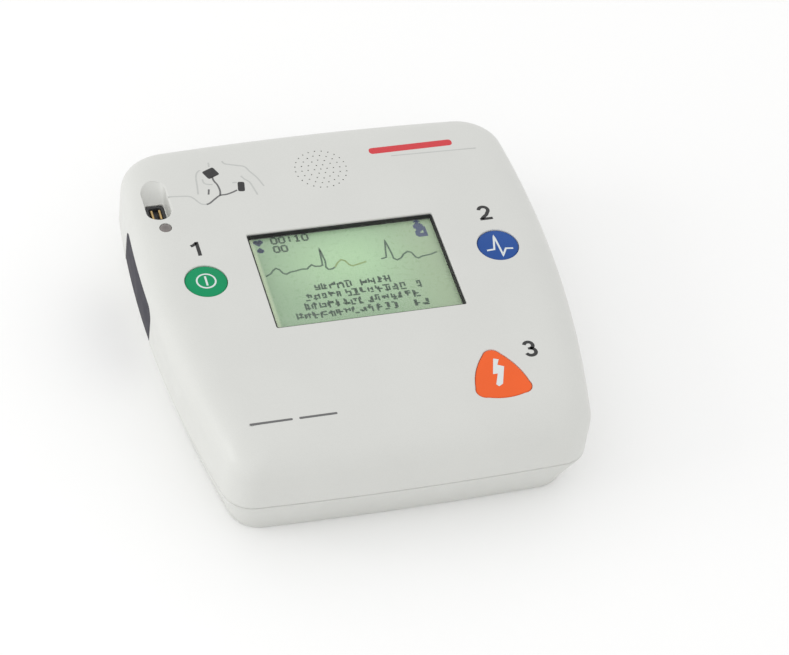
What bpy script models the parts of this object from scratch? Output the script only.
"""Pocket defibrillator: two case shells, display, three buttons, electrode socket and slide-out battery.

Metres, +Z up. The origin is the middle of the underside, +Y points to the speaker end.
Run with: blender --background --python part.py
"""

import math

import bmesh
import bpy
from mathutils import Vector

# Whole case
WIDTH = 0.126
DEPTH = 0.134
HEIGHT = 0.035
WALL = 0.002
GAP = 0.0003
SIDE_BOW = 0.00657
WIDEST_AT = 0.2475
BACK_BOW = 0.0022
FRONT_BOW = 0.0017
BACK_CORNER = 0.0125
FRONT_CORNER = 0.009
TOP_BACK_CORNER = 0.014
TOP_FRONT_CORNER = 0.012
TOP_ROUND_ACROSS = 0.014
TOP_ROUND_DOWN = 0.0105
TOP_ROUND_FULLNESS = 3.0
FOOT_INSET = 0.0038
FOOT_ROUND_ACROSS = 0.0016
FOOT_ROUND_UP = 0.0022
SEAM_Z = 0.0150
SEAM_GAP = 0.0006
SEAL_THICK = 0.0003
SEAL_INSETS = (0.0006, 0.0018)
ROUND_STEPS = 8
FOOT_STEPS = 3
END_STEPS = 4
CORNER_STEPS = 6
SIDE_STEPS = 4

# Display in the top
DISPLAY = Vector((-0.0006, 0.0031))
OPENING = Vector((0.0580, 0.0388))
BEZEL_WALL = 0.0009
BEZEL_FLANGE = 0.0015
BEZEL_Z = (0.0316, 0.0326, 0.0345)
WINDOW_Z = (0.0319, 0.0331)
PANEL_Z = (0.0299, 0.0313)
PANEL_SIZE = Vector((0.057, 0.038))
LIGHT_Z = (0.0280, 0.0296)
LIGHT_SIZE = Vector((0.0595, 0.040))

# Buttons
POWER_AT = Vector((-0.0457, 0.0057))
ANALYSE_AT = Vector((0.0447, 0.0058))
SHOCK_AT = Vector((0.0296, -0.0444))
BUTTON_RADIUS = 0.00635
BUTTON_CROWN = 0.0004
CROWN_PARTS = (0.35, 0.65)
BUTTON_SOFT_EDGE = 0.0006
BUTTON_TOP_Z = 0.0346
FLANGE_LIP = 0.00095
FLANGE_Z = (0.0316, 0.0326)
SHOCK_HALF_WIDTH = 0.00845
SHOCK_HALF_HEIGHT = 0.0090
SHOCK_CORNER = 0.0029
SHOCK_SIDE_BOW = 0.0009
PLUNGER_RADIUS = 0.0015
PLUNGER_Z = (0.0303, 0.0313)
SWITCH_SIZE = 0.006
SWITCH_Z = (0.0292, 0.0304)
SWITCH_WELL_RADIUS = 0.0019
SWITCH_WELL_FLOOR = 0.0295

# Loudspeaker behind its holes
SPEAKER_AT = Vector((-0.0003, 0.0464))
HOLE_RADIUS = 0.00045
HOLE_RING_STEP = 0.0020
HOLE_RINGS = 4
MAGNET_RADIUS = 0.0049
MAGNET_Z = (0.0272, 0.0306)
MESH_RADIUS = 0.0096
MESH_Z = (0.0326, 0.0328)
SPEAKER_FRAME = (
    (0.0102, 0.0323),
    (0.0102, 0.0317),
    (0.0076, 0.0296),
    (0.0052, 0.0296),
    (0.0052, 0.0303),
    (0.0072, 0.0303),
    (0.0092, 0.0319),
    (0.0092, 0.0323),
)
SPEAKER_CONE = (
    (0.0, 0.0319),
    (0.0024, 0.0314),
    (0.0088, 0.0323),
    (0.0088, 0.0321),
    (0.0024, 0.0310),
    (0.0, 0.0315),
)

# Electrode socket at the back left
SOCKET_AT = Vector((-0.0532, 0.04145))
TROUGH_HALF_WIDTH = 0.0038
TROUGH_HALF_LENGTH = 0.00835
TROUGH_FLOOR_Z = 0.0305
TROUGH_RAMP_Z = 0.0345
RAMP_START = 0.0024
POCKET_WALL = 0.0016
POCKET_FLOOR_Z = 0.0283
WELL_HALF_WIDTH = 0.0031
WELL_FRONT = -0.0076
WELL_BACK = 0.0023
SOCKET_WALL = 0.0008
PIN_HALF_PITCH = 0.0012
PIN_ALONG = -0.0022
PIN_SIZE = Vector((0.0008, 0.0040))
PIN_EDGE = 0.00015

# Status lamp
LAMP_AT = Vector((-0.0527, 0.0294))
LENS_RADIUS = 0.0018
LENS_Z = (0.0301, 0.0347)
LED_RADIUS = 0.0011
LED_Z = (0.0292, 0.0298)

# Boards
BOARD_Z = (0.0281, 0.0289)
BOARD_INSET = 0.0046
BOARD_CORNER = 0.008
BOARD_NOTCH_BACK = 0.0530
PROCESSOR_AT = Vector((0.0, -0.043))
PROCESSOR_SIZE = Vector((0.014, 0.014))
PROCESSOR_THICK = 0.0014
MEMORY_AT = Vector((0.017, -0.031))
MEMORY_SIZE = Vector((0.008, 0.010))
MEMORY_THICK = 0.0012
CLOCK_CELL_AT = Vector((-0.030, -0.040))
CLOCK_CELL_RADIUS = 0.010
CLOCK_CELL_LOW_Z = 0.0245
HOLDER_OUTER = 0.0114
HOLDER_INNER = 0.0103
HOLDER_LOW_Z = 0.0243
POWER_BOARD_Z = (0.0033, 0.0047)
POWER_BOARD_X = (0.0, 0.050)
POWER_BOARD_Y = (-0.044, 0.046)
COMPONENT_Z = POWER_BOARD_Z[1] + GAP

# On the high-voltage board
CAPACITOR_BACK = (0.0405, 0.026, 0.0164)
CAPACITOR_PROFILE = (
    (0.0, 0.054),
    (0.0094, 0.054),
    (0.0106, 0.053),
    (0.0106, 0.050),
    (0.0100, 0.0495),
    (0.0106, 0.049),
    (0.0106, 0.0),
    (0.0, 0.0),
)
TRANSFORMER_AT = Vector((0.015, -0.031))
CORE_SIZE = Vector((0.022, 0.010))
CORE_TOP_Z = 0.021
CORE_WINDOW_X = 0.00525
CORE_WINDOW_SIZE = Vector((0.0045, 0.020))
CORE_WINDOW_Z = (0.0085, 0.0175)
WINDING_SIZE = Vector((0.0144, 0.017))
WINDING_Z = (0.0088, 0.0172)
WINDING_EDGE = 0.001
WINDING_HOLE_SIZE = Vector((0.0066, 0.0106))
RELAY_AT = Vector((0.015, -0.0085))
RELAY_SIZE = Vector((0.018, 0.011))
RELAY_TOP_Z = 0.016
RELAY_EDGE = 0.0006
BRIDGE_SPOTS = (
    Vector((0.008, 0.006)),
    Vector((0.020, 0.006)),
    Vector((0.008, 0.014)),
    Vector((0.020, 0.014)),
)
BRIDGE_SIZE = Vector((0.010, 0.0044))
BRIDGE_Z = (0.008, 0.0175)
LEG_PITCH = 0.0025
LEG_SIZE = Vector((0.0008, 0.0005))
LEG_TOP_Z = 0.009
TAB_ALONG = 0.0016
TAB_SIZE = Vector((0.010, 0.0012))
TAB_Z = (0.016, 0.0225)
RESISTOR_END = (0.004, 0.024, 0.0089)
RESISTOR_PROFILE = (
    (0.0, 0.022),
    (0.0036, 0.022),
    (0.0036, 0.020),
    (0.0031, 0.0195),
    (0.0031, 0.0025),
    (0.0036, 0.002),
    (0.0036, 0.0),
    (0.0, 0.0),
)
LINK_AT = Vector((0.022, 0.039))
LINK_SIZE = Vector((0.004, 0.010))
LINK_EDGE = 0.0004

# Shock leads, from under the socket to the high-voltage board
LEAD_RADIUS = 0.0007
LEAD_HALF_PITCH = 0.0012
LEAD_DROP_Z = 0.022
LEAD_ROUTE = (
    (-0.0500, 0.0425, 0.010),
    (-0.0340, 0.0420, 0.006),
    (-0.0120, 0.0410, 0.0065),
    (0.0060, 0.0390, 0.0085),
    (0.0100, 0.0390, COMPONENT_Z),
)

# Screws and the bosses they pull together
SCREW_SPOTS = (
    Vector((-0.042, 0.056)),
    Vector((0.042, 0.056)),
    Vector((-0.044, -0.054)),
    Vector((0.044, -0.054)),
)
LOWER_BOSS_RADIUS = 0.0044
UPPER_BOSS_RADIUS = 0.0034
BOSS_TOP_DROP = 0.0016
COUNTERBORE_RADIUS = 0.0031
COUNTERBORE_Z = 0.009
SCREW_HEAD_RADIUS = 0.0027
SCREW_SHANK_RADIUS = 0.0013
SCREW_TIP_Z = 0.024
SCREW_HEAD_Z = 0.0066
SCREW_RECESS_RADIUS = 0.0011
SCREW_RECESS_Z = 0.0076
CLEAR_HOLE_RADIUS = 0.0017
BOARD_POST_RADIUS = 0.0022
BOARD_POST_X = (0.004, 0.046)
BOARD_POST_Y = (-0.039, 0.041)

# Battery, its bay and its cells
BATTERY_Y = 0.0205
BATTERY_Z = 0.0182
CELL_RADIUS = 0.00725
CELL_LENGTH = 0.025
CELL_NUB = 0.0008
CELL_NUB_RADIUS = 0.0025
CELL_HALF_PITCH = 0.00745
CELL_ENDS_X = (-0.0587, -0.0333)
TRAY_X = (-0.0600, -0.0068)
TRAY_HALF_WIDTH = 0.0157
TRAY_Z = (0.0099, 0.0255)
LID_Z = (0.0258, 0.0265)
TRAY_WALL = 0.0008
BAY_X = (-0.0580, -0.0037)
BAY_WALL = 0.0008
BAY_CLEAR = 0.00035
LEAF_HALF_LENGTH = 0.0058
LEAF_BULGE = 0.0014
LEAF_THICK = 0.0003
LEAF_WIDTH = 0.003
LEAF_STEPS = 4
CONTACT_HALF_SIZE = (0.0020, 0.0027)
CONTACT_X = (-0.0077, -0.0069)
PORT_HALF_SIZE = (0.0023, 0.0030)
CAP_HALF_WIDTH = 0.0177
CAP_Z = (0.0094, 0.0273)
CAP_CORNER = 0.0034
CAP_INNER_X = -0.0603
BATTERY_OPENING_X = -0.0581


def clear_scene():
    for item in list(bpy.data.objects):
        bpy.data.objects.remove(item, do_unlink=True)


def new_collection(name):
    group = bpy.data.collections.new(name)
    bpy.context.scene.collection.children.link(group)
    return group


def material(name, color, roughness, metallic=0.0, alpha=1.0):
    made = bpy.data.materials.new(name)
    made.use_nodes = True
    shader = made.node_tree.nodes["Principled BSDF"]
    shader.inputs["Base Color"].default_value = (*color, 1.0)
    shader.inputs["Roughness"].default_value = roughness
    shader.inputs["Metallic"].default_value = metallic
    shader.inputs["Alpha"].default_value = alpha
    return made


clear_scene()
PARTS = new_collection("defibrillator")
CUTTERS = new_collection("cutters")

WHITE_PLASTIC = material("white_plastic", (0.66, 0.67, 0.64), 0.42)
DARK_RUBBER = material("dark_rubber", (0.03, 0.03, 0.03), 0.75)
DARK_PLASTIC = material("dark_plastic", (0.045, 0.045, 0.05), 0.5)
BATTERY_PLASTIC = material("battery_plastic", (0.095, 0.094, 0.115), 0.45)
CLEAR_PLASTIC = material("clear_plastic", (0.95, 0.97, 0.95), 0.08, alpha=0.25)
LCD_GREEN = material("lcd_green", (0.40, 0.55, 0.36), 0.3)
LIGHT_GUIDE = material("light_guide", (0.75, 0.8, 0.55), 0.35)
POWER_GREEN = material("power_green", (0.0, 0.32, 0.13), 0.4)
ANALYSE_BLUE = material("analyse_blue", (0.03, 0.10, 0.36), 0.4)
SHOCK_ORANGE = material("shock_orange", (0.80, 0.16, 0.05), 0.4)
LAMP_SMOKE = material("lamp_smoke", (0.16, 0.14, 0.13), 0.3)
BOARD_GREEN = material("board_green", (0.02, 0.14, 0.07), 0.45)
STEEL = material("steel", (0.62, 0.62, 0.60), 0.3, 1.0)
GOLD_CONTACT = material("gold_contact", (0.83, 0.62, 0.25), 0.25, 1.0)
FERRITE = material("ferrite", (0.06, 0.06, 0.065), 0.55)
COPPER = material("copper", (0.72, 0.36, 0.18), 0.35, 1.0)
CELL_SLEEVE = material("cell_sleeve", (0.08, 0.13, 0.30), 0.4)
CAPACITOR_SLEEVE = material("capacitor_sleeve", (0.05, 0.06, 0.09), 0.4)
CHIP_BLACK = material("chip_black", (0.025, 0.025, 0.025), 0.6)
RED_WIRE = material("red_wire", (0.55, 0.03, 0.03), 0.5)
PAPER_CONE = material("paper_cone", (0.09, 0.085, 0.08), 0.8)


def add_object(name, mesh, look=None, parent=None, location=(0.0, 0.0, 0.0), rotation=(0.0, 0.0, 0.0)):
    """Link a mesh as a named part, or as a cutter when it has no look."""
    made = bpy.data.objects.new(name, mesh)
    offset = parent.location if parent else Vector((0.0, 0.0, 0.0))
    made.parent = parent
    made.location = Vector(location) - offset
    made.rotation_euler = rotation
    if look:
        mesh.materials.append(look)
        PARTS.objects.link(made)
    else:
        made.hide_render = True
        made.display_type = "WIRE"
        CUTTERS.objects.link(made)
    return made


def pivot(name, location):
    """An empty that a moving group hangs from, on the group's joint axis."""
    made = bpy.data.objects.new(name, None)
    made.location = location
    PARTS.objects.link(made)
    return made


def mesh_from(builder, name):
    mesh = bpy.data.meshes.new(name)
    builder.to_mesh(mesh)
    builder.free()
    return mesh


def smooth(item, degrees=35.0):
    item.data.shade_smooth()
    item.data.set_sharp_from_angle(angle=math.radians(degrees))
    return item


def box(name, low, high, look=None, parent=None, bevel=0.0):
    low = Vector(low)
    high = Vector(high)
    shape = bmesh.new()
    bmesh.ops.create_cube(shape, size=1.0)
    bmesh.ops.scale(shape, vec=high - low, verts=shape.verts)
    made = add_object(name, mesh_from(shape, name), look, parent, (low + high) / 2)
    if bevel:
        soften(made, bevel)
    return made


def soften(item, width, segments=1):
    edge = item.modifiers.new("soft_edges", "BEVEL")
    edge.width = width
    edge.segments = segments
    edge.limit_method = "ANGLE"


def boxes(name, corners):
    """One cutter made of several boxes, each given by its low and high corner."""
    shape = bmesh.new()
    for low, high in corners:
        size = Vector(high) - Vector(low)
        made = bmesh.ops.create_cube(shape, size=1.0)
        bmesh.ops.scale(shape, vec=size, verts=made["verts"])
        bmesh.ops.translate(shape, vec=(Vector(low) + Vector(high)) / 2, verts=made["verts"])
    return add_object(name, mesh_from(shape, name))


def cylinders(name, centres, radius, low, high, segments, look=None, parent=None):
    """Upright cylinders at the given centres, as one mesh."""
    shape = bmesh.new()
    for centre in centres:
        made = bmesh.ops.create_cone(
            shape, cap_ends=True, segments=segments, radius1=radius, radius2=radius, depth=high - low
        )
        bmesh.ops.translate(shape, vec=(centre.x, centre.y, (low + high) / 2), verts=made["verts"])
    offset = Vector((0.0, 0.0, 0.0))
    if parent:
        offset = parent.location
        bmesh.ops.translate(shape, vec=-offset, verts=shape.verts)
    made = add_object(name, mesh_from(shape, name), look, parent, offset)
    return smooth(made)


def turned(name, profile, look, location, steps=16, rotation=(0.0, 0.0, 0.0), parent=None, closed=False):
    """A profile of (radius, height) points, outer side first from top to bottom, spun about its own Z."""
    shape = bmesh.new()
    points = [shape.verts.new((radius, 0.0, height)) for radius, height in profile]
    for first, second in zip(points, points[1:]):
        shape.edges.new((first, second))
    if closed:
        shape.edges.new((points[-1], points[0]))
    made = add_object(name, mesh_from(shape, name), look, parent, location, rotation)
    spin = made.modifiers.new("spin", "SCREW")
    spin.angle = math.tau
    spin.steps = steps
    spin.render_steps = steps
    spin.use_merge_vertices = True
    spin.merge_threshold = 0.00001
    spin.use_smooth_shade = True
    return made


def outline_solid(name, outlines, low, high, look=None, parent=None):
    """Flat closed outlines, filled with any inner ones left open, from one height to another."""
    curve = bpy.data.curves.new(name, "CURVE")
    curve.dimensions = "2D"
    curve.fill_mode = "BOTH"
    curve.extrude = (high - low) / 2
    for outline in outlines:
        line = curve.splines.new("POLY")
        line.points.add(len(outline) - 1)
        for point, (across, along) in zip(line.points, outline):
            point.co = (across, along, 0.0, 1.0)
        line.use_cyclic_u = True
    guide = bpy.data.objects.new(name + "_outline", curve)
    CUTTERS.objects.link(guide)
    bpy.context.view_layer.update()
    mesh = bpy.data.meshes.new_from_object(guide.evaluated_get(bpy.context.evaluated_depsgraph_get()))
    bpy.data.objects.remove(guide)
    shape = bmesh.new()
    shape.from_mesh(mesh)
    bmesh.ops.remove_doubles(shape, verts=shape.verts, dist=0.000001)
    shape.to_mesh(mesh)
    shape.free()
    return add_object(name, mesh, look, parent, (0.0, 0.0, (low + high) / 2))


def boolean(target, other, operation):
    step = target.modifiers.new(other.name, "BOOLEAN")
    step.operation = operation
    step.object = other
    step.solver = "EXACT"


def cut(target, *others):
    for other in others:
        boolean(target, other, "DIFFERENCE")


def unite(target, *others):
    for other in others:
        boolean(target, other, "UNION")


def quarter_outline(inset, radius, towards_back):
    """A quarter of the case's plan, from the middle of one end, round the corner, to the side at Y = 0."""
    sign = 1.0 if towards_back else -1.0
    end_bow = BACK_BOW if towards_back else FRONT_BOW
    half_width = WIDTH / 2
    half_depth = DEPTH / 2

    def side(along):
        return half_width - inset - SIDE_BOW * (sign * along / half_depth - WIDEST_AT) ** 2

    def side_normal(along):
        slope = 2.0 * SIDE_BOW * sign / half_depth * (sign * along / half_depth - WIDEST_AT)
        return math.atan2(slope, 1.0)

    def end(across):
        return half_depth - inset - end_bow * (across / half_width) ** 2

    def end_normal(across):
        return math.atan2(1.0, 2.0 * end_bow * across / half_width**2)

    across = side(0.0) - radius
    along = end(0.0) - radius
    for _ in range(12):
        side_angle = side_normal(along)
        end_angle = end_normal(across)
        centre_across = side(along) - radius * math.cos(side_angle)
        centre_along = end(across) - radius * math.sin(end_angle)
        centre = Vector((centre_across, centre_along))
        across = centre.x + radius * math.cos(end_angle)
        along = centre.y + radius * math.sin(side_angle)

    points = []
    for step in range(END_STEPS):
        part_way = across * step / END_STEPS
        points.append((part_way, sign * end(part_way)))
    for step in range(CORNER_STEPS):
        angle = end_angle + (side_angle - end_angle) * step / CORNER_STEPS
        points.append((centre.x + radius * math.cos(angle), sign * (centre.y + radius * math.sin(angle))))
    for step in range(SIDE_STEPS + 1):
        part_way = along * (1.0 - step / SIDE_STEPS)
        points.append((side(part_way), sign * part_way))
    return points


def case_outline(inset, back_corner, front_corner):
    """The case's plan at an inset from its widest outline, clockwise from the middle of the back."""
    back = quarter_outline(inset, back_corner, True)
    front = quarter_outline(inset, front_corner, False)
    front_middle = [(0.0, front[0][1])]
    right = back[1:] + front[-2:0:-1]
    left = [(-across, along) for across, along in reversed(right)]
    return [(0.0, back[0][1])] + right + front_middle + left


def upper_rings(inset=0.0, drop=0.0):
    """(height, outline) rings of the upper outer surface, from the seam to the edge of the flat top."""
    rings = [(SEAM_Z, case_outline(inset, BACK_CORNER, FRONT_CORNER))]
    for step in range(ROUND_STEPS + 1):
        angle = math.pi / 2 * step / ROUND_STEPS
        blend = 1.0 - math.cos(angle) ** (2.0 / TOP_ROUND_FULLNESS)
        rise = math.sin(angle) ** (2.0 / TOP_ROUND_FULLNESS)
        back = BACK_CORNER + (TOP_BACK_CORNER - BACK_CORNER) * blend
        front = FRONT_CORNER + (TOP_FRONT_CORNER - FRONT_CORNER) * blend
        height = HEIGHT - drop - TOP_ROUND_DOWN * (1.0 - rise)
        rings.append((height, case_outline(inset + TOP_ROUND_ACROSS * blend, back, front)))
    return rings


def lower_rings(inset=0.0):
    """(height, outline) rings of the lower outer surface, from the flat underside up to the seam."""
    rings = []
    for step in range(FOOT_STEPS + 1):
        angle = math.pi / 2 * step / FOOT_STEPS
        tuck = FOOT_INSET + FOOT_ROUND_ACROSS * (1.0 - math.sin(angle))
        height = FOOT_ROUND_UP * (1.0 - math.cos(angle))
        rings.append((height, case_outline(inset + tuck, BACK_CORNER, FRONT_CORNER)))
    rings.append((SEAM_Z, case_outline(inset, BACK_CORNER, FRONT_CORNER)))
    return rings


def lower_hollow_ring(height):
    """The inside of the lower walls at a height, one wall's thickness in from their straight part."""
    slope = FOOT_INSET * (SEAM_Z - height) / (SEAM_Z - FOOT_ROUND_UP)
    return height, case_outline(slope + WALL, BACK_CORNER, FRONT_CORNER)


def loft(name, rings, look=None, cap_bottom=True):
    """Walls between rings of equal point counts, capped at the ends that are asked for."""
    shape = bmesh.new()
    loops = []
    for height, outline in rings:
        loops.append([shape.verts.new((across, along, height)) for across, along in outline])
    for low, high in zip(loops, loops[1:]):
        for index in range(len(low)):
            following = (index + 1) % len(low)
            shape.faces.new((low[index], high[index], high[following], low[following]))
    if cap_bottom:
        shape.faces.new(loops[0])
    shape.faces.new(list(reversed(loops[-1])))
    return smooth(add_object(name, mesh_from(shape, name), look))


def shell(item):
    wall = item.modifiers.new("wall", "SOLIDIFY")
    wall.thickness = WALL
    wall.offset = -1.0
    wall.use_even_offset = True


def stadium(half_width, half_length, steps=8):
    """A slot outline with round ends, long along Y, about the origin."""
    straight = half_length - half_width
    points = []
    for end in (1, -1):
        for step in range(steps + 1):
            angle = math.pi * step / steps
            points.append((end * half_width * math.cos(angle), end * (straight + half_width * math.sin(angle))))
    return points


def moved(points, offset):
    return [(across + offset[0], along + offset[1]) for across, along in points]


def rounded_rectangle(half_width, half_height, corner, steps=5):
    points = []
    for quadrant, (right, up) in enumerate(((1, 1), (-1, 1), (-1, -1), (1, -1))):
        centre = (right * (half_width - corner), up * (half_height - corner))
        for step in range(steps + 1):
            angle = math.pi / 2 * (quadrant + step / steps)
            points.append((centre[0] + corner * math.cos(angle), centre[1] + corner * math.sin(angle)))
    return points


def rounded_triangle(half_width, half_height, corner, side_bow, steps=5):
    """An upright triangle with round corners and slightly bowed sides, about the origin."""
    centres = (
        Vector((0.0, half_height - corner)),
        Vector((corner - half_width, corner - half_height)),
        Vector((half_width - corner, corner - half_height)),
    )
    points = []
    for index, centre in enumerate(centres):
        before = centre - centres[index - 1]
        after = centres[(index + 1) % 3] - centre
        start = math.atan2(-before.x, before.y)
        turn = (math.atan2(-after.x, after.y) - start) % math.tau
        for step in range(steps + 1):
            angle = start + turn * step / steps
            points.append(tuple(centre + corner * Vector((math.cos(angle), math.sin(angle)))))
        outward = Vector((after.y, -after.x)).normalized()
        for part in (0.25, 0.5, 0.75):
            points.append(tuple(centre + after * part + outward * (corner + 4 * side_bow * part * (1 - part))))
    return points


def speaker_holes():
    """Centres of the sound holes: one in the middle and rings of six, twelve and so on round it."""
    centres = [SPEAKER_AT]
    for ring in range(1, HOLE_RINGS + 1):
        for step in range(6 * ring):
            angle = math.tau * step / (6 * ring)
            centres.append(SPEAKER_AT + ring * HOLE_RING_STEP * Vector((math.cos(angle), math.sin(angle))))
    return centres


def footprint(centre, size, low, high):
    """Low and high corner of an upright block, from its plan centre and size."""
    half = size / 2
    return (*(centre - half), low), (*(centre + half), high)


def side_prism(name, half_width, half_height, corner, low_x, high_x, look=None, parent=None):
    """A rounded rectangle in the YZ plane about the battery's axis, extruded along X."""
    outline = rounded_rectangle(half_width, half_height, corner)
    made = outline_solid(name, [outline], 0.0, high_x - low_x, look, parent)
    made.rotation_euler = (math.pi / 2, 0.0, math.pi / 2)
    offset = parent.location if parent else Vector((0.0, 0.0, 0.0))
    made.location = Vector(((low_x + high_x) / 2, BATTERY_Y, sum(CAP_Z) / 2)) - offset
    return made


def button_outline(grow):
    size = (SHOCK_HALF_WIDTH + grow, SHOCK_HALF_HEIGHT + grow, SHOCK_CORNER + grow)
    return moved(rounded_triangle(*size, SHOCK_SIDE_BOW), SHOCK_AT)


def case_form(name, inset, drop):
    return loft(name, lower_rings(inset) + upper_rings(inset, drop)[1:])


def trough_cutter():
    """The finger-wide trough that leads a plug down a ramp into the electrode socket."""
    outline = moved(stadium(TROUGH_HALF_WIDTH, TROUGH_HALF_LENGTH), SOCKET_AT)
    trough = outline_solid("socket_trough", [outline], TROUGH_FLOOR_Z, HEIGHT + WALL)
    back = TROUGH_HALF_LENGTH + GAP
    ramp = [
        (RAMP_START, TROUGH_FLOOR_Z - WALL),
        (RAMP_START, TROUGH_FLOOR_Z),
        (back, TROUGH_RAMP_Z),
        (back, TROUGH_FLOOR_Z - WALL),
    ]
    wedge = outline_solid("socket_ramp", [ramp], 0.0, 4 * TROUGH_HALF_WIDTH)
    wedge.rotation_euler = (math.pi / 2, 0.0, math.pi / 2)
    wedge.location = (SOCKET_AT.x, SOCKET_AT.y, 0.0)
    cut(trough, wedge)
    return trough


def well_cutter():
    low = (SOCKET_AT.x - WELL_HALF_WIDTH, SOCKET_AT.y + WELL_FRONT, POCKET_FLOOR_Z - WALL)
    high = (SOCKET_AT.x + WELL_HALF_WIDTH, SOCKET_AT.y + WELL_BACK, TROUGH_FLOOR_Z + GAP)
    return box("socket_well", low, high)


def battery_opening():
    return side_prism(
        "battery_opening",
        CAP_HALF_WIDTH + GAP,
        (CAP_Z[1] - CAP_Z[0]) / 2 + GAP,
        CAP_CORNER + GAP,
        -WIDTH / 2 - WALL,
        BATTERY_OPENING_X,
    )


def build_case():
    opening = battery_opening()
    below_seam = box("below_seam", (-WIDTH, -DEPTH, -WALL), (WIDTH, DEPTH, SEAM_Z + SEAM_GAP / 2))
    above_seam = box("above_seam", (-WIDTH, -DEPTH, SEAM_Z - SEAM_GAP / 2), (WIDTH, DEPTH, HEIGHT))
    upper = loft("upper_case", upper_rings(), WHITE_PLASTIC, cap_bottom=False)
    shell(upper)
    pocket_plan = stadium(TROUGH_HALF_WIDTH + POCKET_WALL, TROUGH_HALF_LENGTH + POCKET_WALL)
    pocket = outline_solid("socket_pocket", [moved(pocket_plan, SOCKET_AT)], POCKET_FLOOR_Z, HEIGHT)
    boolean(pocket, case_form("case_core", WALL / 2, WALL / 2), "INTERSECT")
    boss_top = HEIGHT - BOSS_TOP_DROP
    bosses = cylinders("upper_bosses", SCREW_SPOTS, UPPER_BOSS_RADIUS, SEAM_Z, boss_top, 12)
    unite(upper, pocket, bosses)
    display = box("display_opening", *footprint(DISPLAY, OPENING, HEIGHT - 2 * WALL, HEIGHT + WALL))
    hole_low = HEIGHT - 2 * WALL
    hole_high = HEIGHT + WALL
    round_spots = (POWER_AT, ANALYSE_AT)
    rounds = cylinders("round_button_holes", round_spots, BUTTON_RADIUS + GAP, hole_low, hole_high, 32)
    triangle = outline_solid("shock_button_hole", [button_outline(GAP)], hole_low, hole_high)
    lamp = cylinders("lamp_hole", (LAMP_AT,), LENS_RADIUS + GAP, hole_low, hole_high, 16)
    holes = cylinders("sound_holes", speaker_holes(), HOLE_RADIUS, hole_low, hole_high, 6)
    pilots = cylinders("pilot_holes", SCREW_SPOTS, CLEAR_HOLE_RADIUS, SEAM_Z - WALL, SCREW_TIP_Z + 2 * GAP, 12)
    cut(upper, display, rounds, triangle, lamp, holes, trough_cutter(), well_cutter())
    cut(upper, opening, pilots, below_seam)

    lower = loft("lower_case", lower_rings(), WHITE_PLASTIC)
    cut(lower, loft("lower_hollow", [lower_hollow_ring(WALL), lower_hollow_ring(SEAM_Z + WALL)]))
    posts = [Vector((across, along)) for across in BOARD_POST_X for along in BOARD_POST_Y]
    unite(
        lower,
        cylinders("lower_bosses", SCREW_SPOTS, LOWER_BOSS_RADIUS, WALL / 2, SEAM_Z, 12),
        cylinders("board_posts", posts, BOARD_POST_RADIUS, WALL / 2, POWER_BOARD_Z[0] - GAP, 8),
    )
    cut(
        lower,
        cylinders("counterbores", SCREW_SPOTS, COUNTERBORE_RADIUS, -WALL, COUNTERBORE_Z, 12),
        cylinders("clear_holes", SCREW_SPOTS, CLEAR_HOLE_RADIUS, WALL, SEAM_Z + WALL, 12),
        opening,
        above_seam,
    )

    ring = [case_outline(inset, BACK_CORNER, FRONT_CORNER) for inset in SEAL_INSETS]
    seal = outline_solid("case_seal", ring, SEAM_Z - SEAL_THICK / 2, SEAM_Z + SEAL_THICK / 2, DARK_RUBBER)
    cut(seal, opening)

    profile = [
        (0.0, SCREW_TIP_Z),
        (SCREW_SHANK_RADIUS, SCREW_TIP_Z),
        (SCREW_SHANK_RADIUS, COUNTERBORE_Z - GAP),
        (SCREW_HEAD_RADIUS, COUNTERBORE_Z - GAP),
        (SCREW_HEAD_RADIUS, SCREW_HEAD_Z),
        (SCREW_RECESS_RADIUS, SCREW_HEAD_Z),
        (SCREW_RECESS_RADIUS, SCREW_RECESS_Z),
        (0.0, SCREW_RECESS_Z),
    ]
    for number, spot in enumerate(SCREW_SPOTS, 1):
        turned(f"case_screw_{number}", profile, STEEL, (spot.x, spot.y, 0.0), 12)


def build_display():
    bezel_size = OPENING - 2 * Vector((GAP, GAP))
    inner = bezel_size - 2 * Vector((BEZEL_WALL, BEZEL_WALL))
    flange = OPENING + 2 * Vector((BEZEL_FLANGE, BEZEL_FLANGE))
    bezel = box("display_bezel", *footprint(DISPLAY, bezel_size, BEZEL_Z[0], BEZEL_Z[2]), DARK_RUBBER)
    unite(bezel, box("bezel_flange", *footprint(DISPLAY, flange, BEZEL_Z[0], BEZEL_Z[1])))
    cut(bezel, box("bezel_inside", *footprint(DISPLAY, inner, BEZEL_Z[0] - WALL, HEIGHT + WALL)))
    window = inner - 2 * Vector((GAP, GAP))
    box("display_window", *footprint(DISPLAY, window, *WINDOW_Z), CLEAR_PLASTIC)
    box("lcd_panel", *footprint(DISPLAY, PANEL_SIZE, *PANEL_Z), LCD_GREEN)
    box("lcd_backlight", *footprint(DISPLAY, LIGHT_SIZE, *LIGHT_Z), LIGHT_GUIDE)


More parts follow.
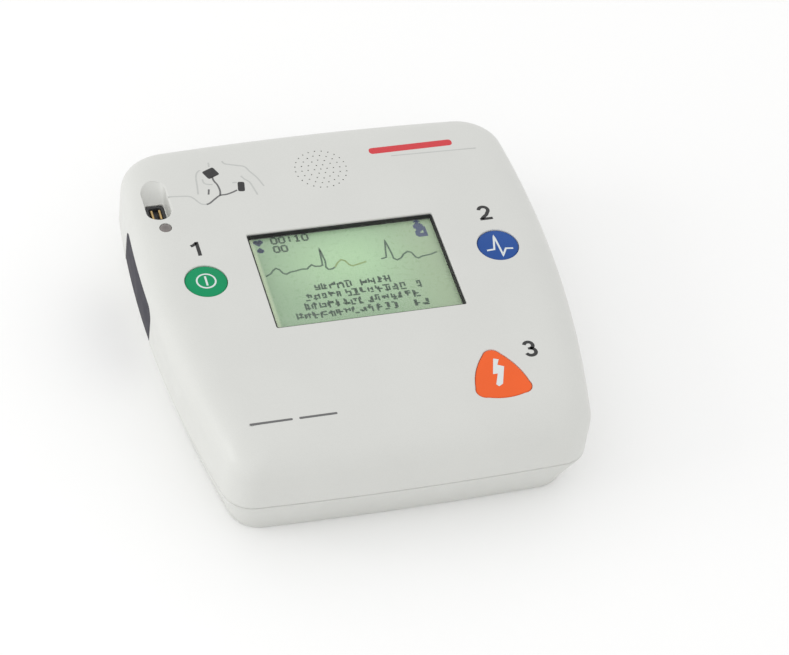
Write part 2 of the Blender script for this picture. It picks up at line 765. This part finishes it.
def round_button(name, centre, look, parent):
    crown = [(0.0, BUTTON_TOP_Z + BUTTON_CROWN)]
    crown += [(BUTTON_RADIUS * part, BUTTON_TOP_Z + BUTTON_CROWN * (1.0 - part**2)) for part in CROWN_PARTS]
    profile = crown + [
        (BUTTON_RADIUS - BUTTON_SOFT_EDGE, BUTTON_TOP_Z),
        (BUTTON_RADIUS, BUTTON_TOP_Z - BUTTON_SOFT_EDGE),
        (BUTTON_RADIUS, FLANGE_Z[1]),
        (BUTTON_RADIUS + FLANGE_LIP, FLANGE_Z[1]),
        (BUTTON_RADIUS + FLANGE_LIP, FLANGE_Z[0]),
        (0.0, FLANGE_Z[0]),
    ]
    local = [(radius, height - HEIGHT) for radius, height in profile]
    return turned(name, local, look, (centre.x, centre.y, HEIGHT), 32, parent=parent)


def shock_button(look, parent):
    offset = -parent.location
    cap = outline_solid("shock_button", [button_outline(0.0)], FLANGE_Z[0], BUTTON_TOP_Z, look, parent)
    flange = outline_solid("shock_flange", [button_outline(FLANGE_LIP)], *FLANGE_Z)
    cap.location = Vector((offset.x, offset.y, cap.location.z))
    unite(cap, flange)
    return cap


def build_buttons():
    spots = {"power": POWER_AT, "analyse": ANALYSE_AT, "shock": SHOCK_AT}
    looks = {"power": POWER_GREEN, "analyse": ANALYSE_BLUE, "shock": SHOCK_ORANGE}
    for name, spot in spots.items():
        parent = pivot(f"{name}_button_axis", (spot.x, spot.y, HEIGHT))
        if name == "shock":
            shock_button(looks[name], parent)
        else:
            round_button(f"{name}_button", spot, looks[name], parent)
        cylinders(f"{name}_plunger", (spot,), PLUNGER_RADIUS, *PLUNGER_Z, 12, DARK_PLASTIC, parent)
        size = Vector((SWITCH_SIZE, SWITCH_SIZE))
        switch = box(f"{name}_switch", *footprint(spot, size, *SWITCH_Z), CHIP_BLACK)
        well = (SWITCH_WELL_RADIUS, SWITCH_WELL_FLOOR, HEIGHT)
        cut(switch, cylinders(f"{name}_switch_well", (spot,), *well, 12))


def build_speaker():
    place = (SPEAKER_AT.x, SPEAKER_AT.y, 0.0)
    turned("speaker_frame", SPEAKER_FRAME, DARK_PLASTIC, place, 20, closed=True)
    turned("speaker_cone", SPEAKER_CONE, PAPER_CONE, place, 20)
    cylinders("speaker_magnet", (SPEAKER_AT,), MAGNET_RADIUS, *MAGNET_Z, 20, STEEL)
    cylinders("speaker_mesh", (SPEAKER_AT,), MESH_RADIUS, *MESH_Z, 20, DARK_RUBBER)


def build_socket():
    low = (SOCKET_AT.x - WELL_HALF_WIDTH + GAP, SOCKET_AT.y + WELL_FRONT + GAP, POCKET_FLOOR_Z)
    high = (SOCKET_AT.x + WELL_HALF_WIDTH - GAP, SOCKET_AT.y + WELL_BACK - GAP, TROUGH_FLOOR_Z - GAP)
    socket = box("electrode_socket", low, high, DARK_PLASTIC)
    groove_low = (low[0] + SOCKET_WALL, low[1] + SOCKET_WALL, low[2] + SOCKET_WALL)
    groove_high = (high[0] - SOCKET_WALL, high[1] - SOCKET_WALL, HEIGHT)
    cut(socket, box("socket_groove", groove_low, groove_high))
    for number, side in enumerate((-1, 1), 1):
        middle = SOCKET_AT + Vector((side * PIN_HALF_PITCH, PIN_ALONG))
        blade = footprint(middle, PIN_SIZE, groove_low[2] + GAP, TROUGH_FLOOR_Z + GAP)
        box(f"socket_pin_{number}", *blade, GOLD_CONTACT, bevel=PIN_EDGE)


def build_status_lamp():
    cylinders("status_lens", (LAMP_AT,), LENS_RADIUS, *LENS_Z, 16, LAMP_SMOKE)
    cylinders("status_led", (LAMP_AT,), LED_RADIUS, *LED_Z, 10, LIGHT_GUIDE)


def build_main_board():
    plan = case_outline(BOARD_INSET, BOARD_CORNER, BOARD_CORNER)
    board = outline_solid("main_board", [plan], *BOARD_Z, BOARD_GREEN)
    below = BOARD_Z[0] - WALL
    above = BOARD_Z[1] + WALL
    window = LIGHT_SIZE + Vector((5 * GAP, 5 * GAP))
    notch_low = (-WIDTH, SOCKET_AT.y - TROUGH_HALF_LENGTH - POCKET_WALL - 2 * GAP, below)
    notch_high = (SOCKET_AT.x + TROUGH_HALF_WIDTH + POCKET_WALL + 2 * GAP, BOARD_NOTCH_BACK, above)
    cut(
        board,
        box("board_window", *footprint(DISPLAY, window, below, above)),
        box("board_notch", notch_low, notch_high),
        cylinders("board_boss_holes", SCREW_SPOTS, UPPER_BOSS_RADIUS + 2 * GAP, below, above, 12),
        cylinders("board_magnet_hole", (SPEAKER_AT,), MAGNET_RADIUS + 2 * GAP, below, above, 20),
    )
    under = BOARD_Z[0] - GAP
    box("processor", *footprint(PROCESSOR_AT, PROCESSOR_SIZE, under - PROCESSOR_THICK, under), CHIP_BLACK)
    box("memory_chip", *footprint(MEMORY_AT, MEMORY_SIZE, under - MEMORY_THICK, under), CHIP_BLACK)
    holder = [
        (HOLDER_OUTER, under),
        (HOLDER_OUTER, HOLDER_LOW_Z),
        (HOLDER_INNER, HOLDER_LOW_Z),
        (HOLDER_INNER, under),
    ]
    turned("cell_holder", holder, DARK_PLASTIC, (*CLOCK_CELL_AT, 0.0), 20, closed=True)
    cylinders("backup_cell", (CLOCK_CELL_AT,), CLOCK_CELL_RADIUS, CLOCK_CELL_LOW_Z, under - GAP, 20, STEEL)


def build_power_board():
    low_x, high_x = POWER_BOARD_X
    low_y, high_y = POWER_BOARD_Y
    box("power_board", (low_x, low_y, POWER_BOARD_Z[0]), (high_x, high_y, POWER_BOARD_Z[1]), BOARD_GREEN)

    lying_along_y = (math.pi / 2, 0.0, 0.0)
    turned("storage_capacitor", CAPACITOR_PROFILE, CAPACITOR_SLEEVE, CAPACITOR_BACK, 24, lying_along_y)

    core = box("transformer_core", *footprint(TRANSFORMER_AT, CORE_SIZE, COMPONENT_Z, CORE_TOP_Z), FERRITE)
    windows = [
        footprint(TRANSFORMER_AT + Vector((side * CORE_WINDOW_X, 0.0)), CORE_WINDOW_SIZE, *CORE_WINDOW_Z)
        for side in (-1, 1)
    ]
    cut(core, boxes("core_windows", windows))
    coil = footprint(TRANSFORMER_AT, WINDING_SIZE, *WINDING_Z)
    winding = box("transformer_winding", *coil, COPPER, bevel=WINDING_EDGE)
    cut(winding, box("winding_hole", *footprint(TRANSFORMER_AT, WINDING_HOLE_SIZE, 0.0, HEIGHT)))

    relay = footprint(RELAY_AT, RELAY_SIZE, COMPONENT_Z, RELAY_TOP_Z)
    box("patient_relay", *relay, DARK_PLASTIC, bevel=RELAY_EDGE)
    for number, spot in enumerate(BRIDGE_SPOTS, 1):
        switch = box(f"bridge_switch_{number}", *footprint(spot, BRIDGE_SIZE, *BRIDGE_Z), CHIP_BLACK)
        legs = [
            footprint(spot + Vector((step * LEG_PITCH, 0.0)), LEG_SIZE, COMPONENT_Z, LEG_TOP_Z)
            for step in (-1, 0, 1)
        ]
        tab = footprint(spot + Vector((0.0, TAB_ALONG)), TAB_SIZE, *TAB_Z)
        unite(switch, boxes(f"bridge_switch_{number}_legs", legs))
        unite(switch, boxes(f"bridge_switch_{number}_tab", [tab]))

    lying_along_x = (0.0, math.pi / 2, 0.0)
    turned("discharge_resistor", RESISTOR_PROFILE, LAMP_SMOKE, RESISTOR_END, 16, lying_along_x)
    link = footprint(LINK_AT, LINK_SIZE, COMPONENT_Z, BOARD_Z[0] - GAP)
    box("board_link", *link, DARK_PLASTIC, bevel=LINK_EDGE)

    for number, side in enumerate((-1, 1), 1):
        top = SOCKET_AT + Vector((side * PIN_HALF_PITCH, 0.0))
        route = [(top.x, top.y, POCKET_FLOOR_Z - GAP), (top.x, top.y, LEAD_DROP_Z)]
        for across, along, height in LEAD_ROUTE:
            route.append((across, along + side * LEAD_HALF_PITCH, height))
        wire(f"shock_lead_{number}", route, LEAD_RADIUS, RED_WIRE)


def wire(name, route, radius, look):
    """A round wire along a smooth curve through its route points."""
    ends = [Vector(point) for point in (route[0], *route, route[-1])]
    curve = bpy.data.curves.new(name, "CURVE")
    curve.dimensions = "3D"
    curve.bevel_depth = radius
    curve.bevel_resolution = 2
    curve.use_fill_caps = True
    points = []
    for before, start, finish, after in zip(ends, ends[1:], ends[2:], ends[3:]):
        for step in range(4):
            part = step / 4
            straight = start.lerp(finish, part)
            bend = (finish - before) * (part * (1 - part) ** 2) / 2
            bend -= (after - start) * (part**2 * (1 - part)) / 2
            ease = (finish - start) * (part * (1 - part) * (2 * part - 1))
            points.append(straight + bend + ease)
    points.append(ends[-1])
    line = curve.splines.new("POLY")
    line.points.add(len(points) - 1)
    for point, place in zip(line.points, points):
        point.co = (*place, 1.0)
    made = bpy.data.objects.new(name, curve)
    curve.materials.append(look)
    PARTS.objects.link(made)
    return made


def contact_leaf(name, centre_y):
    """A bowed spring strip on the bay's end wall, bulging towards the battery."""
    root_x = BAY_X[1] - BAY_WALL - GAP - LEAF_THICK
    face = []
    for step in range(2 * LEAF_STEPS + 1):
        along = step / LEAF_STEPS - 1.0
        face.append((root_x - LEAF_BULGE * (1.0 - along**2), along * LEAF_HALF_LENGTH))
    back = [(across + LEAF_THICK, along) for across, along in reversed(face)]
    leaf = outline_solid(name, [face + back], 0.0, LEAF_WIDTH, GOLD_CONTACT)
    leaf.rotation_euler = (math.pi / 2, 0.0, 0.0)
    leaf.location = (0.0, centre_y, BATTERY_Z)


def build_battery():
    parent = pivot("battery_axis", (CAP_INNER_X, BATTERY_Y, BATTERY_Z))
    half_height = (CAP_Z[1] - CAP_Z[0]) / 2
    outer_x = -WIDTH / 2 - WALL
    size = (CAP_HALF_WIDTH, half_height, CAP_CORNER)
    cap = side_prism("battery_end_cap", *size, outer_x, CAP_INNER_X, BATTERY_PLASTIC, parent)
    boolean(cap, case_form("case_outside", 0.0, 0.0), "INTERSECT")

    low_y = BATTERY_Y - TRAY_HALF_WIDTH
    high_y = BATTERY_Y + TRAY_HALF_WIDTH
    tray_low = (TRAY_X[0], low_y, TRAY_Z[0])
    tray_high = (TRAY_X[1], high_y, TRAY_Z[1])
    tray = box("battery_tray", tray_low, tray_high, BATTERY_PLASTIC, parent)
    inside_low = (TRAY_X[0] + TRAY_WALL, low_y + TRAY_WALL, TRAY_Z[0] + TRAY_WALL)
    inside_high = (TRAY_X[1] - TRAY_WALL, high_y - TRAY_WALL, HEIGHT)
    contacts_y = (BATTERY_Y - CELL_HALF_PITCH, BATTERY_Y + CELL_HALF_PITCH)
    ports = []
    for centre in contacts_y:
        port_low = (TRAY_X[1] - 2 * TRAY_WALL, centre - PORT_HALF_SIZE[0], BATTERY_Z - PORT_HALF_SIZE[1])
        port_high = (0.0, centre + PORT_HALF_SIZE[0], BATTERY_Z + PORT_HALF_SIZE[1])
        ports.append((port_low, port_high))
    cut(tray, box("tray_inside", inside_low, inside_high), boxes("contact_ports", ports))
    box("battery_lid", (TRAY_X[0], low_y, LID_Z[0]), (TRAY_X[1], high_y, LID_Z[1]), BATTERY_PLASTIC, parent)

    cell = [
        (0.0, CELL_LENGTH),
        (CELL_NUB_RADIUS, CELL_LENGTH),
        (CELL_NUB_RADIUS, CELL_LENGTH - CELL_NUB),
        (CELL_RADIUS - CELL_NUB, CELL_LENGTH - CELL_NUB),
        (CELL_RADIUS, CELL_LENGTH - 2 * CELL_NUB),
        (CELL_RADIUS, 0.0),
        (0.0, 0.0),
    ]
    number = 0
    for start in CELL_ENDS_X:
        for centre in contacts_y:
            number += 1
            place = (start, centre, BATTERY_Z)
            turned(f"battery_cell_{number}", cell, CELL_SLEEVE, place, 16, (0.0, math.pi / 2, 0.0), parent)

    for name, centre in zip(("plus", "minus"), contacts_y):
        low = (CONTACT_X[0], centre - CONTACT_HALF_SIZE[0], BATTERY_Z - CONTACT_HALF_SIZE[1])
        high = (CONTACT_X[1], centre + CONTACT_HALF_SIZE[0], BATTERY_Z + CONTACT_HALF_SIZE[1])
        box(f"battery_contact_{name}", low, high, GOLD_CONTACT, parent)
        contact_leaf(f"bay_contact_{name}", centre)

    clear = BAY_CLEAR
    inner_low = (-WIDTH, low_y - clear, TRAY_Z[0] - clear)
    inner_high = (BAY_X[1] - BAY_WALL, high_y + clear, LID_Z[1] + clear)
    outer_low = (BAY_X[0], inner_low[1] - BAY_WALL, inner_low[2] - BAY_WALL)
    outer_high = (BAY_X[1], inner_high[1] + BAY_WALL, inner_high[2] + BAY_WALL)
    bay = box("battery_bay", outer_low, outer_high, DARK_PLASTIC)
    cut(bay, box("bay_inside", inner_low, inner_high))


build_case()
build_display()
build_buttons()
build_speaker()
build_socket()
build_status_lamp()
build_main_board()
build_power_board()
build_battery()
